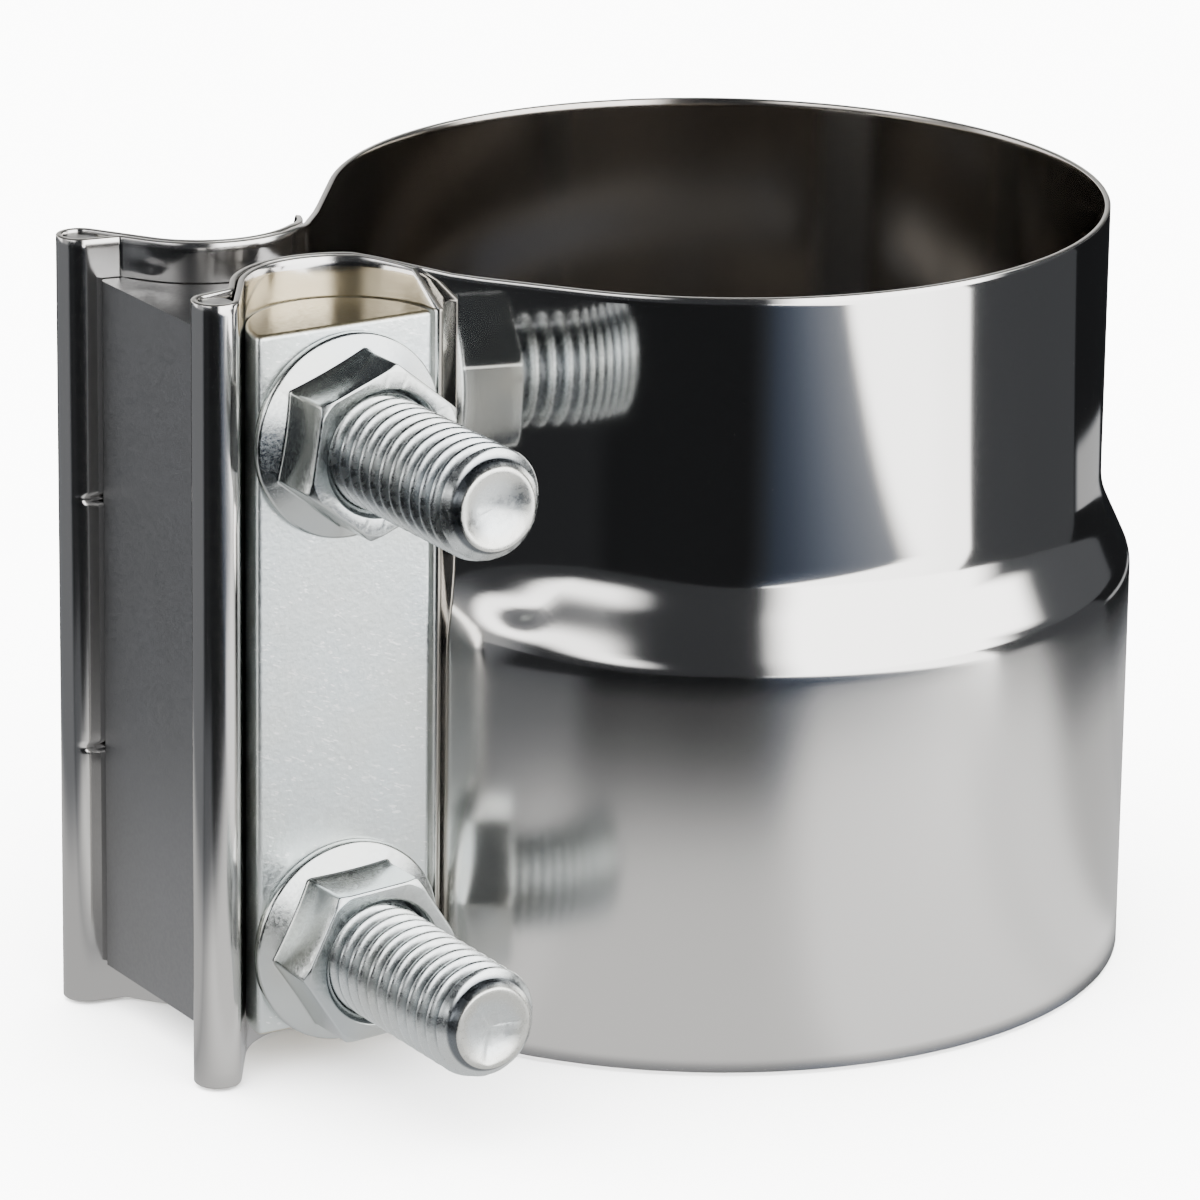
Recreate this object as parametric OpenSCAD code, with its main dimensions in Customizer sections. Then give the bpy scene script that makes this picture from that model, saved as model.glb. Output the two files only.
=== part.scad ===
// Lap joint exhaust clamp. A stepped sheet band closes over two pipe ends of
// different diameter. Its flanges are folded back round wire rods and are drawn
// together by two bolts, between two half-round bars, on a waisted spacer block.
// Ring axis along Z, larger socket down on z = 0, flanges towards -X, bolts along Y.

/* [Ring] */
// Bore of the smaller, upper socket
small_bore = 76.4; // [70:0.1:79]
// Bore of the larger, lower socket
large_bore = 82.8; // [80:0.1:90]
// Thickness of the band sheet
sheet = 0.6; // [0.5:0.05:0.8]
// Height of the ring from rim to rim
ring_height = 76.8; // [72:0.1:80]
// Height of the flanges, a little taller than the drawn ring
flange_height = 78; // [76:0.1:84]
// Height at which the upper socket starts to widen
shoulder_top = 49.8; // [44:0.1:56]
// Slope of the shoulder from the ring axis
shoulder_slope = 25; // [18:1:35]
// Hollow radius above the shoulder, on the outer face
shoulder_hollow_radius = 10; // [6:0.5:14]
// Round radius below the shoulder, on the outer face
shoulder_round_radius = 1.5; // [1.2:0.1:2]

/* [Flange folds] */
// Gap between the two layers of each flange
layer_gap = 0.2; // [0.1:0.05:0.4]
// Gap between the outer layer and the bar that lies in it
seat_gap = 0.05; // [0.02:0.01:0.2]
// Slack that sets the straight run from the larger socket to the flange
root_slack = 0.45; // [0.2:0.01:0.8]
// Diameter of the rod held in each folded loop
rod_diameter = 3.2; // [2.6:0.1:3.8]
// Gap between rod and loop
rod_gap = 0.1; // [0.05:0.05:0.3]
// Distance of each rod end inside the edge of its flange
rod_setback = 0.3; // [0.2:0.1:4]
// Distance of the rod outboard of the bar edge
rod_standoff = 4; // [3.6:0.05:6]
// Distance of the rod inside the plane of the bar flat
rod_inset = 0.93; // [0:0.01:2]
// Straight run of the inner layer before its crease
crease_run = 2.7; // [2.2:0.1:3.2]
// Bend radius of the crease at mid sheet
crease_radius = 0.9; // [0.6:0.05:1.2]
// Straight tail of the outer layer past the bar
tail_length = 3.6; // [2:0.1:4]
// Angle round the bar where the tail leaves it
tail_angle = 20; // [16:1:24]
// Width of the corner cut off the tail
corner_width = 3.6; // [1:0.1:4]
// Height of the corner cut off the tail
corner_height = 3.5; // [1:0.1:6]
// Distance from the ring axis where the flange starts to rise over the rim
rise_start = 38; // [37:0.5:42]
// Length over which the flange edge rises to its full height
rise_length = 7; // [4:0.5:10]

/* [Spacer block and bars] */
// Radius of the half-round bars
bar_radius = 9.5; // [9.1:0.1:11]
// Length of the bars
bar_length = 70; // [66:0.5:76]
// Edge break on the ends of the bars
bar_edge = 0.5; // [0.2:0.1:1]
// Length of the spacer block
block_length = 70; // [66:0.5:76]
// Thickness of the spacer block at its waist
block_waist = 5.92; // [4:0.02:7]
// Gap between the block and the sheet on each side
block_gap = 0.35; // [0.2:0.05:0.5]
// Distance of the outer block face inboard of the rod axis
block_recess = 0.64; // [0.2:0.02:1.6]
// Clearance between the block and a pipe in the larger socket
pipe_gap = 0.8; // [0.5:0.05:1.5]
// Edge break on the block corners
block_edge = 0.4; // [0.2:0.1:0.6]

/* [Bolts and nuts] */
// Outer diameter of the bolt thread
thread_diameter = 11.1; // [10:0.1:11.4]
// Diameter of the plain shank under the head
shank_diameter = 10.9; // [9.8:0.1:11.4]
// Length of the plain shank under the head
shank_length = 22; // [16:0.5:26]
// Bolt length under the head
bolt_length = 56.3; // [50:0.1:64]
// Distance between the two bolts
bolt_spacing = 50.8; // [44:0.1:52]
// Distance of the bolt pair below the middle of the flanges
bolt_drop = 1.2; // [0:0.1:2]
// Hole for the bolt through sheet, bars and block
bolt_hole = 12; // [11.8:0.1:13]
// Diameter of the flat ring left on the bolt end
bolt_end_diameter = 7.9; // [7:0.1:9]
// Length of the chamfer on the bolt end
bolt_end_length = 1.6; // [1:0.1:2.4]
// Width across the dished bolt end
dish_diameter = 7.2; // [5:0.1:7.4]
// Depth of the dished bolt end
dish_depth = 0.7; // [0.2:0.1:1.2]
// Width across the flats of nut and head
hex_flats = 15; // [14:0.1:16]
// Diameter of the flange on nut and head
flange_diameter = 20.2; // [19:0.1:20.2]
// Thickness of the flange at its rim
flange_rim = 0.9; // [0.6:0.1:1.4]
// Slope of the flange towards the hexagon
flange_slope = 16; // [10:1:25]
// Width of the chamfer ring on the hexagon corners
hex_chamfer = 0.7; // [0.3:0.1:1]
// Height of the nut
nut_height = 7.5; // [7:0.1:9.6]
// Running clearance between thread and nut, on the radius
thread_gap = 0.05; // [0.03:0.01:0.1]
// Width across the countersunk mouth of the nut
mouth_diameter = 12.6; // [12:0.1:13.2]
// Height of the bolt head
head_height = 7; // [6:0.1:8]
// Width of the shallow recess in the bolt head
recess_diameter = 11; // [8:0.5:12]
// Depth of the shallow recess in the bolt head
recess_depth = 0.5; // [0.2:0.1:1]
// Turned position of the upper nut
upper_nut_turn = 21; // [0:1:59]
// Turned position of the lower nut
lower_nut_turn = 3; // [0:1:59]
// Turned position of the upper bolt head
upper_head_turn = 10; // [0:1:59]
// Turned position of the lower bolt head
lower_head_turn = 38; // [0:1:59]

/* [Hidden] */
$fn = 96;
over = 1;                                     // how far cutters run past a face
sink = 0.005;                                 // depth by which straight runs enter a curve
shoulder_break = 3;                           // slight angle where the cone meets its arcs
lap = 0.05;                                   // length by which a bend reaches into its neighbours

small_inner = small_bore / 2;
small_outer = small_inner + sheet;
large_inner = large_bore / 2;
large_outer = large_inner + sheet;

// radii round the axis of a bar, from the bar outwards
seat_radius = bar_radius + seat_gap;
back_mid = seat_radius + sheet / 2;           // middle of the outer, folded-back layer
wrap_outer = seat_radius + sheet + layer_gap; // inner layer, face towards the bar
wrap_inner = wrap_outer + sheet;              // inner layer, face towards the block
wrap_mid = (wrap_outer + wrap_inner) / 2;
block_round = wrap_inner + block_gap;

// bar and bolt axes
bar_y = block_waist / 2 + block_round;
bar_span = large_outer + wrap_outer + root_slack;
bar_x = -sqrt(bar_span * bar_span - bar_y * bar_y);
bar_heading = atan2(bar_y, -bar_x);           // angle of a bar seen from the ring axis

// straight flange roots: angle where each socket's round ends, and straight length
small_bend = acos((small_outer + wrap_outer) / bar_span);
small_leave = 180 + bar_heading + small_bend;
large_bend = acos((large_outer + wrap_outer) / bar_span);
large_leave = 180 + bar_heading + large_bend;
root_turn = small_bend - large_bend;
run_start = 1.2;                              // a little past the end of the round
run_end = (large_outer * cos(root_turn) - small_outer) / sin(root_turn) + over;

middle = flange_height / 2;
bolt_middle = middle - bolt_drop;
upper_z = bolt_middle + bolt_spacing / 2;
lower_z = bolt_middle - bolt_spacing / 2;

// rods and loops
rod_x = bar_x - bar_radius - rod_standoff;
rod_y = bar_y - rod_inset;
loop_inner = rod_diameter / 2 + rod_gap;
loop_mid = loop_inner + sheet / 2;
rod_span = sqrt(pow(bar_x - rod_x, 2) + pow(bar_y - rod_y, 2));
rod_heading = atan2(rod_inset, bar_x - rod_x);
cross_angle = acos((back_mid + loop_mid) / rod_span);
loop_end = 360 - rod_heading - cross_angle;   // where the loop runs out to the outer layer
fold_angle = loop_end - 180;                  // where both layers leave the bar round

// crease of the inner layer and neck up to the loop
crease = on_bar(wrap_mid, fold_angle) + crease_run * heading(fold_angle + 90);
to_rod = [rod_x, -rod_y] - crease;
rod_away = norm(to_rod);
neck_heading = atan2(to_rod[1], to_rod[0]) + 360 - asin(loop_mid / rod_away);
loop_start = neck_heading - 90;
loop_top = [rod_x, -rod_y] + loop_mid * heading(loop_start);
crease_turn = fold_angle + 90 - neck_heading;
crease_trim = crease_radius * tan(crease_turn / 2);
crease_in = crease - crease_trim * heading(fold_angle + 90);
crease_out = crease + crease_trim * heading(neck_heading);
crease_centre = crease_in + crease_radius * heading(fold_angle);

// tail of the outer layer
tail_start = on_bar(back_mid, tail_angle);
tail_way = heading(tail_angle - 90);

// shoulder, outer face: hollow arc, straight cone, round arc
hollow_drop = shoulder_hollow_radius * sin(shoulder_slope);
hollow_out = shoulder_hollow_radius * (1 - cos(shoulder_slope));
round_drop = shoulder_round_radius * sin(shoulder_slope);
round_out = shoulder_round_radius * (1 - cos(shoulder_slope));
cone_out = large_outer - small_outer - hollow_out - round_out;
cone_drop = cone_out / tan(shoulder_slope);
shoulder_low = shoulder_top - hollow_drop - cone_drop - round_drop;

nut_bore = thread_diameter + 2 * thread_gap;
hex_corners = hex_flats / cos(30);
mouth_depth = (mouth_diameter - nut_bore) / 2;

// small helpers, all drawn on the near side, y < 0

function heading(angle) = [cos(angle), sin(angle)];
function on_bar(radius, angle) = [bar_x, -bar_y] + radius * heading(angle);
function flip(points) = [for (p = points) [p[0], -p[1]]];
function backwards(points) = [for (i = [len(points) - 1:-1:0]) points[i]];

// sheet seen on edge, bent round a centre between two angles
module bent_strip(centre, mid, from, to) {
    reach = 2 * (mid + sheet);
    more = lap / mid * 180 / PI;
    start = from - more;
    step = (to - from + 2 * more) / 4;
    translate(centre)
        intersection() {
            difference() {
                circle(mid + sheet / 2 - sink);
                circle(mid - sheet / 2 + sink);
            }
            polygon(concat([[0, 0]], [for (i = [0:4]) reach * heading(start + i * step)]));
        }
}

// sheet seen on edge, straight between two points
module straight_strip(start, end) {
    way = (end - start) / norm(end - start);
    side = [-way[1], way[0]] * sheet / 2;
    polygon([start + side, end + side, end - side, start - side]);
}

// both flanges outboard of the bolts, as one folded outline
module fold_outline() {
    bent_strip([bar_x, -bar_y], wrap_mid, 90, fold_angle);
    straight_strip(on_bar(wrap_mid, fold_angle), crease_in);
    bent_strip(crease_centre, crease_radius, neck_heading + 90, fold_angle + 180);
    straight_strip(crease_out, loop_top);
    bent_strip([rod_x, -rod_y], loop_mid, loop_start, loop_end);
    straight_strip([rod_x, -rod_y] + loop_mid * heading(loop_end),
                   on_bar(back_mid, fold_angle));
    bent_strip([bar_x, -bar_y], back_mid, tail_angle, fold_angle);
    straight_strip(tail_start, tail_start + tail_length * tail_way);
}

// space between the two flange roots, next to the smaller socket
module root_outline(ring, wrap) {
    from_ring = (ring - sink) * heading(small_leave);
    to_bar = on_bar(wrap - sink, small_leave - 180);
    near = [from_ring, to_bar, [bar_x, -bar_y]];
    difference() {
        polygon(concat(near, flip(backwards(near))));
        for (side = [-1, 1])
            translate([bar_x, side * bar_y])
                circle(wrap);
    }
}

// turned outline of the ring; inset = 0 gives the outer face, sheet the inner one
module ring_outline(inset, low, high) {
    hollow = shoulder_hollow_radius + inset;
    rounded = shoulder_round_radius - inset;
    hollow_z = shoulder_top;
    rounded_z = shoulder_low;
    small = small_outer - inset;
    large = large_outer - inset;
    meet = shoulder_slope - shoulder_break;
    corner_low = [large - rounded * (1 - cos(meet)), rounded_z + rounded * sin(meet)];
    corner_high = [small + hollow * (1 - cos(meet)), hollow_z - hollow * sin(meet)];
    difference() {
        union() {
            polygon([[0, low], [large, low], [large, rounded_z], [large - rounded, rounded_z],
                     corner_low, corner_high, [small + hollow, hollow_z], [small, hollow_z],
                     [small, high], [0, high]]);
            intersection() {
                translate([large - rounded, rounded_z])
                    circle(rounded);
                translate([large - rounded, rounded_z])
                    polygon([[0, 0], 3 * rounded * heading(0),
                             3 * rounded * heading(meet / 2), 3 * rounded * heading(meet)]);
            }
        }
        translate([small + hollow, hollow_z])
            circle(hollow);
    }
}

// everything inside the outer or the inner face of the ring and the flange roots
module ring_body(inset, low, high) {
    rotate_extrude()
        ring_outline(inset, low, high);
    translate([0, 0, low])
        linear_extrude(high - low)
            root_outline(small_outer - inset, wrap_outer + inset);
    // shoulder and larger socket run straight on from the ring to the smaller socket's root
    for (side = [0, 1])
        mirror([0, side, 0])
            rotate([90, 0, large_leave])
                translate([-sink, 0, run_start])
                    linear_extrude(run_end - run_start)
                        ring_outline(inset, low, high);
}

module bolt_holes() {
    for (z = [lower_z, upper_z])
        translate([bar_x, 0, z])
            rotate([90, 0, 0])
                cylinder(h = 2 * bar_y + 2 * over, d = bolt_hole, center = true);
}

module band() {
    color([0.80, 0.81, 0.83])
        difference() {
            union() {
                difference() {
                    ring_body(0, 0, flange_height);
                    ring_body(sheet, -over, flange_height + over);
                }
                linear_extrude(flange_height)
                    for (side = [0, 1])
                        mirror([0, side])
                            fold_outline();
            }
            bolt_holes();
            rim_cut();
            for (side = [0, 1])
                mirror([0, side, 0])
                    corner_cuts();
        }
}

// takes the ring down to its own height and slopes up to the flanges
module rim_cut() {
    top = flange_height + over;
    full = [-rise_start - rise_length, flange_height];
    rotate([90, 0, 0])
        linear_extrude(4 * large_bore, center = true)
            polygon([[-rise_start, ring_height], [2 * large_bore, ring_height],
                     [2 * large_bore, top], [full[0] - over, top], full]);
}

// corners cut off the free edge of a tail, square to the sheet
module corner_cuts() {
    for (end = [0, 1])
        translate([0, 0, end * flange_height])
            mirror([0, 0, end])
                translate(tail_start + tail_length * tail_way)
                    rotate([90, 0, tail_angle + 90])
                        linear_extrude(sheet + layer_gap, center = true)
                            polygon([[over, -over], [over, corner_height], [0, corner_height],
                                     [-corner_width, 0], [-corner_width, -over]]);
}

module rod(side) {
    color([0.62, 0.63, 0.65])
        translate([rod_x, side * rod_y, rod_setback])
            cylinder(h = flange_height - 2 * rod_setback, d = rod_diameter);
}

// half-round bar, round side in the flange, flat side out
module bar(side) {
    color([0.78, 0.79, 0.76])
        difference() {
            translate([bar_x, side * bar_y, middle])
                intersection() {
                    rotate_extrude()
                        polygon([[0, -bar_length / 2], [bar_radius - bar_edge, -bar_length / 2],
                                 [bar_radius, bar_edge - bar_length / 2],
                                 [bar_radius, bar_length / 2 - bar_edge],
                                 [bar_radius - bar_edge, bar_length / 2], [0, bar_length / 2]]);
                    translate([-bar_radius - over, side > 0 ? -bar_radius - over : 0,
                               -bar_length / 2 - over])
                        cube([2 * bar_radius + 2 * over, bar_radius + over,
                              bar_length + 2 * over]);
                }
            bolt_holes();
        }
}

// waisted block between the flanges, hollow towards the pipe
module spacer_block() {
    outer_x = rod_x + block_recess;
    off = (sheet / 2 + block_gap) * heading(neck_heading - 90);
    way = (outer_x - crease_out[0] - off[0]) / cos(neck_heading);
    outer_corner = crease_out + off + way * heading(neck_heading);
    inner_corner = crease_out + off;
    near = [outer_corner + [0, block_edge], outer_corner + [block_edge, 0], inner_corner,
            [bar_x, -bar_y], on_bar(block_round - sink, large_leave - 180),
            (large_inner - block_gap) * heading(large_leave)];
    color([0.55, 0.56, 0.58])
        difference() {
            translate([0, 0, middle - block_length / 2])
                linear_extrude(block_length)
                    difference() {
                        polygon(concat(near, flip(backwards(near))));
                        for (side = [-1, 1])
                            translate([bar_x, side * bar_y])
                                circle(block_round);
                        circle(large_inner + pipe_gap);
                    }
            bolt_holes();
        }
}

// puts a piece on a bolt axis; its own +Z then points to the nut side, -Y
module on_bolt(z) {
    translate([bar_x, 0, z])
        rotate([90, 0, 0])
            children();
}

// hexagon on a sloped flange, seated at zero
module hex_on_flange(height, turn) {
    rim = flange_diameter / 2;
    corner = hex_corners / 2;
    foot = flange_rim + rim * tan(flange_slope);
    intersection() {
        rotate([0, 0, turn])
            cylinder(h = height, d = hex_corners, $fn = 6);
        rotate_extrude()
            polygon([[0, 0], [corner + over, 0],
                     [corner + over, height - (hex_chamfer + over) * tan(30)],
                     [corner - hex_chamfer, height], [0, height]]);
    }
    rotate_extrude()
        polygon([[0, 0], [rim, 0], [rim, flange_rim], [0, foot]]);
}

module nut(z, turn) {
    color([0.75, 0.77, 0.80])
        on_bolt(z)
            translate([0, 0, bar_y])
                difference() {
                    hex_on_flange(nut_height, turn);
                    translate([0, 0, -over])
                        cylinder(h = nut_height + 2 * over, d = nut_bore);
                    for (end = [0, 1])
                        translate([0, 0, end * nut_height])
                            mirror([0, 0, end])
                                rotate_extrude()
                                    polygon([[0, -over], [mouth_diameter / 2 + over, -over],
                                             [nut_bore / 2 - over, mouth_depth + over],
                                             [0, mouth_depth + over]]);
                }
}

module bolt(z, turn) {
    end = bolt_length - bar_y;
    thread = thread_diameter / 2;
    shank = shank_diameter / 2;
    ring = bolt_end_diameter / 2;
    dish = dish_diameter / 2;
    bowl = (dish * dish + dish_depth * dish_depth) / (2 * dish_depth);
    color([0.72, 0.74, 0.76])
        on_bolt(z) {
            difference() {
                rotate_extrude()
                    polygon([[0, -bar_y - over], [shank, -bar_y - over],
                             [shank, shank_length - bar_y],
                             [thread, shank_length - bar_y + (thread - shank)],
                             [thread, end - bolt_end_length], [ring, end], [0, end]]);
                translate([0, 0, end - dish_depth + bowl])
                    sphere(bowl);
            }
            translate([0, 0, -bar_y])
                mirror([0, 0, 1])
                    difference() {
                        hex_on_flange(head_height, turn);
                        translate([0, 0, head_height])
                            cylinder(h = 2 * recess_depth, d = recess_diameter, center = true);
                    }
        }
}

module near_rod() { rod(-1); }
module far_rod() { rod(1); }
module near_bar() { bar(-1); }
module far_bar() { bar(1); }
module upper_bolt() { bolt(upper_z, upper_head_turn); }
module lower_bolt() { bolt(lower_z, lower_head_turn); }
module upper_nut() { nut(upper_z, upper_nut_turn); }
module lower_nut() { nut(lower_z, lower_nut_turn); }

band();
near_rod();
far_rod();
near_bar();
far_bar();
spacer_block();
upper_bolt();
lower_bolt();
upper_nut();
lower_nut();
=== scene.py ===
import math

import bpy
import numpy as np
from mathutils import Matrix


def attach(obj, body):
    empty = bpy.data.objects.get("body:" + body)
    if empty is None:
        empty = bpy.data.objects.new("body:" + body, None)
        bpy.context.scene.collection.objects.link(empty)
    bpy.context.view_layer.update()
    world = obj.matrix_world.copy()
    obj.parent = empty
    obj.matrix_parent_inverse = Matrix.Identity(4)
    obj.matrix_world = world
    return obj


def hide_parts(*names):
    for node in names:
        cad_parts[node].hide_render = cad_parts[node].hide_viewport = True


# Lap joint exhaust clamp, dressed for the studio. Sizes are millimetres unless a note says
# otherwise, and everything goes into Blender in metres, in the CAD frame: ring axis on Z,
# larger socket down on the floor, flanges towards -X, nuts towards -Y.

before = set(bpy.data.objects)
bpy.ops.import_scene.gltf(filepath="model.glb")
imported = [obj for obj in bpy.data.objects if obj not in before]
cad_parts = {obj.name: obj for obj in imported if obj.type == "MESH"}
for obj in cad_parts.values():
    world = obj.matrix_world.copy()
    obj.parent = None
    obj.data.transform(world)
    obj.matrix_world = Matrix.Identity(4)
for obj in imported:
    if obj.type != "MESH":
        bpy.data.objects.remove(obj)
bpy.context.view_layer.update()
print("frame loaded:", sorted(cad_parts))

mm = 0.001


# Grids of points and the meshes made of them

def heading(degrees):
    # unit vector in plan at an angle from +X
    turn = np.radians(degrees)
    return np.stack([np.cos(turn), np.sin(turn)], axis=-1)


def gridQuads(rows, columns, closeRows=False, closeColumns=False):
    # corner indices of the cells of a rows x columns grid, stored row after row
    i = np.arange(rows if closeRows else rows - 1)[:, None]
    j = np.arange(columns if closeColumns else columns - 1)[None, :]
    nextRow = (i + 1) % rows
    nextColumn = (j + 1) % columns
    cells = [i * columns + j, i * columns + nextColumn,
             nextRow * columns + nextColumn, nextRow * columns + j]
    return np.stack([np.broadcast_to(c, (len(i), j.shape[1])) for c in cells], -1).reshape(-1, 4)


def buildMesh(name, points, quads, caps=()):
    # one closed mesh from quads and a few many-sided caps, turned outwards by its volume
    corners = points[quads]
    volume = 0.0
    for a, b, c in ((0, 1, 2), (0, 2, 3)):
        cross = np.cross(corners[:, b], corners[:, c])
        volume += np.einsum("ij,ij->", corners[:, a], cross)
    if volume < 0:
        quads = quads[:, ::-1]
        caps = [cap[::-1] for cap in caps]
    loops = np.concatenate([quads.ravel(), *caps]).astype(np.int32)
    sizes = np.concatenate([np.full(len(quads), 4), [len(cap) for cap in caps]]).astype(np.int32)
    starts = np.concatenate([[0], np.cumsum(sizes)[:-1]]).astype(np.int32)
    mesh = bpy.data.meshes.new(name)
    mesh.vertices.add(len(points))
    mesh.vertices.foreach_set("co", (points * mm).astype(np.float32).ravel())
    mesh.loops.add(len(loops))
    mesh.loops.foreach_set("vertex_index", loops)
    mesh.polygons.add(len(sizes))
    mesh.polygons.foreach_set("loop_start", starts)
    mesh.update(calc_edges=True)
    mesh.validate()
    piece = bpy.data.objects.new(name, mesh)
    bpy.context.scene.collection.objects.link(piece)
    return piece


def finishPiece(piece, node, body, material, sharpAngle=50, evenFaces=True):
    # shading, paint, the body it hangs from, and the CAD node that the piece stands for hidden
    piece.data.shade_smooth()
    piece.data.set_sharp_from_angle(angle=math.radians(sharpAngle))
    if evenFaces:
        weighted = piece.modifiers.new("weighted", "WEIGHTED_NORMAL")
        weighted.keep_sharp = True
        weighted.weight = 60
    piece.data.materials.append(material)
    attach(piece, body)
    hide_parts(node)
    print("made", piece.name, len(piece.data.polygons), "faces")


def drillHoles(piece, plan, halfSpan):
    # both bolt holes, cut across Y at the bolt heights
    cutters = []
    for z in (plan["upperZ"], plan["lowerZ"]):
        bpy.ops.mesh.primitive_cylinder_add(vertices=64, radius=plan["hole"] / 2 * mm,
                                            depth=2 * halfSpan * mm)
        cutter = bpy.context.object
        place = Matrix.Translation((plan["barX"] * mm, 0, z * mm))
        cutter.data.transform(place @ Matrix.Rotation(math.pi / 2, 4, "X"))
        cut = piece.modifiers.new("hole", "BOOLEAN")
        cut.object = cutter
        cut.solver = "EXACT"
        cutters.append(cutter)
    evaluated = piece.evaluated_get(bpy.context.evaluated_depsgraph_get())
    drilled = bpy.data.meshes.new_from_object(evaluated)
    piece.modifiers.clear()
    piece.data = drilled
    for cutter in cutters:
        bpy.data.objects.remove(cutter)


# The bolts, bars and rods that the sheet folds round

clampPlan = {
    "barX": -50.838, "barY": 14.26,             # axis of a bar, and of the bolts in X
    "rodX": -64.338, "rodY": 13.33,             # axis of a wire rod
    "upperZ": 63.2, "lowerZ": 12.4,             # bolt heights
    "hole": 12.0, "middle": 39.0,               # bolt hole, mid height of the flanges
}

# The band: one sheet, out along the near flange and back again, and the same on the far side

bandPlan = {
    "sheet": 0.6,
    "smallOuter": 38.8, "largeOuter": 42.0,     # outer radii of the two sockets
    "ringHeight": 76.8, "flangeHeight": 78.0,   # the flanges stand a little taller
    "riseStart": 38.0, "riseLength": 7.0,       # where the rim climbs from one to the other
    "shoulderTop": 49.8, "hollow": 10.0, "round": 4.5, "slope": 25.0,
    "ringSteps": 92,                            # grid steps round half the ring
    "softFrom": 0.80, "softReach": 3.0, "softRise": 1.2,   # shoulder runs out near the flanges
    "wrapMid": 10.65, "backMid": 9.85,          # the two layers round a bar, mid sheet
    "foldAngle": 147.187,                       # where both layers leave the bar
    "creaseRun": 2.306, "creaseRadius": 0.9,    # straight run and bend before the loop
    "neckHeading": 189.95,                      # way of the sheet towards the loop
    "loopMid": 2.0, "loopEnd": 327.187,         # loop round the rod, mid sheet
    "tailAngle": 20.0, "tailLength": 3.6,       # free tail past the bar
    "cornerWidth": 3.4, "cornerHeight": 3.5,    # corners cut off the tail
    "edge": 0.1, "edgeDraw": 0.45,              # rounding of the cut edges, and how deep it is
    "tailNarrow": (0.87, 0.74),                 # share of the sheet left at the tail's last rows
    "rimSlopeFrom": 66.0,                       # height above which rows slope to the rim
    "insideReach": 10.0, "insideRadius": 43.0,  # bounds of the ring's inner face, for the paint
    "holeReach": 12.5,                          # how far across Y the bolt holes are cut
    # grid rows: runs as (from, to, count), single rows near the top, rows over a sharp dent
    "rowRuns": [(1.5, 3.5, 3), (5.5, 36, 9), (37.5, 54, 40), (56, 72, 6)],
    "topRows": (74.5, 75.5, 76.5), "rowGap": 0.02, "dentRows": 10, "dentReach": 2.7,
    # grid steps along the parts of the near flange
    "rootSteps": 6, "wrapSteps": 28, "runSteps": 2, "creaseSteps": 8, "neckSteps": 9,
    "loopSteps": 36, "backSteps": 4,
}

# small knocks in the sheet: place, spread and push, all x, y, z
bandDents = [
    {"at": (-63.5, 11.2, 52.0), "spread": (1.0, 1.2, 0.26), "push": (0.0, 0.42, -0.12)},
    {"at": (-63.5, 11.2, 26.6), "spread": (1.0, 1.2, 0.26), "push": (0.0, 0.36, -0.12)},
    {"at": (-59.6, 8.5, 75.6), "spread": (0.5, 1.5, 0.5), "push": (0.1, 0.2, 0.0)},
    {"at": (-35.2, -20.8, 45.3), "spread": (1.3, 1.3, 1.2), "push": (0.26, 0.15, 0.0)},
]


def ringRadius(z, inset, plan):
    # small socket, hollow arc, cone, round arc, large socket; each arc is a circle about its
    # own centre, r = centre - sqrt(radius^2 - drop^2) or + for the round one
    lean = math.radians(plan["slope"])
    hollow = plan["hollow"] + inset
    rounded = plan["round"] - inset
    hollowCentre = plan["smallOuter"] + plan["hollow"]
    roundCentre = plan["largeOuter"] - plan["round"]
    coneOut = (plan["largeOuter"] - plan["smallOuter"]
               - (plan["hollow"] + plan["round"]) * (1 - math.cos(lean)))
    low = (plan["shoulderTop"] - (plan["hollow"] + plan["round"]) * math.sin(lean)
           - coneOut / math.tan(lean))
    down = plan["shoulderTop"] - z
    up = z - low
    hollowArc = hollowCentre - np.sqrt(np.maximum(hollow ** 2 - down ** 2, 0))
    cone = (hollowCentre - hollow * math.cos(lean)
            + (down - hollow * math.sin(lean)) * math.tan(lean))
    roundArc = roundCentre + np.sqrt(np.maximum(rounded ** 2 - up ** 2, 0))
    steps = [down <= 0, down < hollow * math.sin(lean), up > rounded * math.sin(lean), up > 0]
    shapes = [plan["smallOuter"] - inset, hollowArc, cone, roundArc]
    return np.select(steps, shapes, plan["largeOuter"] - inset)


def softRadius(z, inset, plan):
    # the same profile drawn out: mean of it over a short height, a little higher up
    steps = np.linspace(-plan["softReach"], plan["softReach"], 13)
    weights = 1 + np.cos(np.pi * steps / (plan["softReach"] + 0.5))
    shapes = [w * ringRadius(z - plan["softRise"] + k, inset, plan) for w, k in zip(weights, steps)]
    return sum(shapes) / weights.sum()


def sheetRows(plan, dents):
    # heights of the grid rows, close together at the edges, the shoulder and the dents
    top = plan["flangeHeight"]
    edge = plan["edge"]
    rows = [0, 0.25 * edge, edge, *plan["topRows"], top - edge, top - 0.25 * edge, top]
    for start, stop, count in plan["rowRuns"]:
        rows += list(np.linspace(start, stop, count))
    for dent in dents:
        if dent["spread"][2] < 1:
            reach = dent["spread"][2] * plan["dentReach"]
            rows += list(dent["at"][2] + np.linspace(-reach, reach, plan["dentRows"]))
    rows = np.array(sorted(rows))
    rows = rows[(rows >= 0) & (rows <= top)]
    keep = np.concatenate([[True], np.diff(rows) > plan["rowGap"]])   # no two rows in one place
    rows = rows[keep]
    # the outermost row narrows to round the cut edge off: a square root of 1 - draw x depth^2
    depth = np.minimum(np.minimum(rows, top - rows) / edge, 1)
    across = np.sqrt(1 - plan["edgeDraw"] * (1 - depth) ** 2)
    return rows, across


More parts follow.
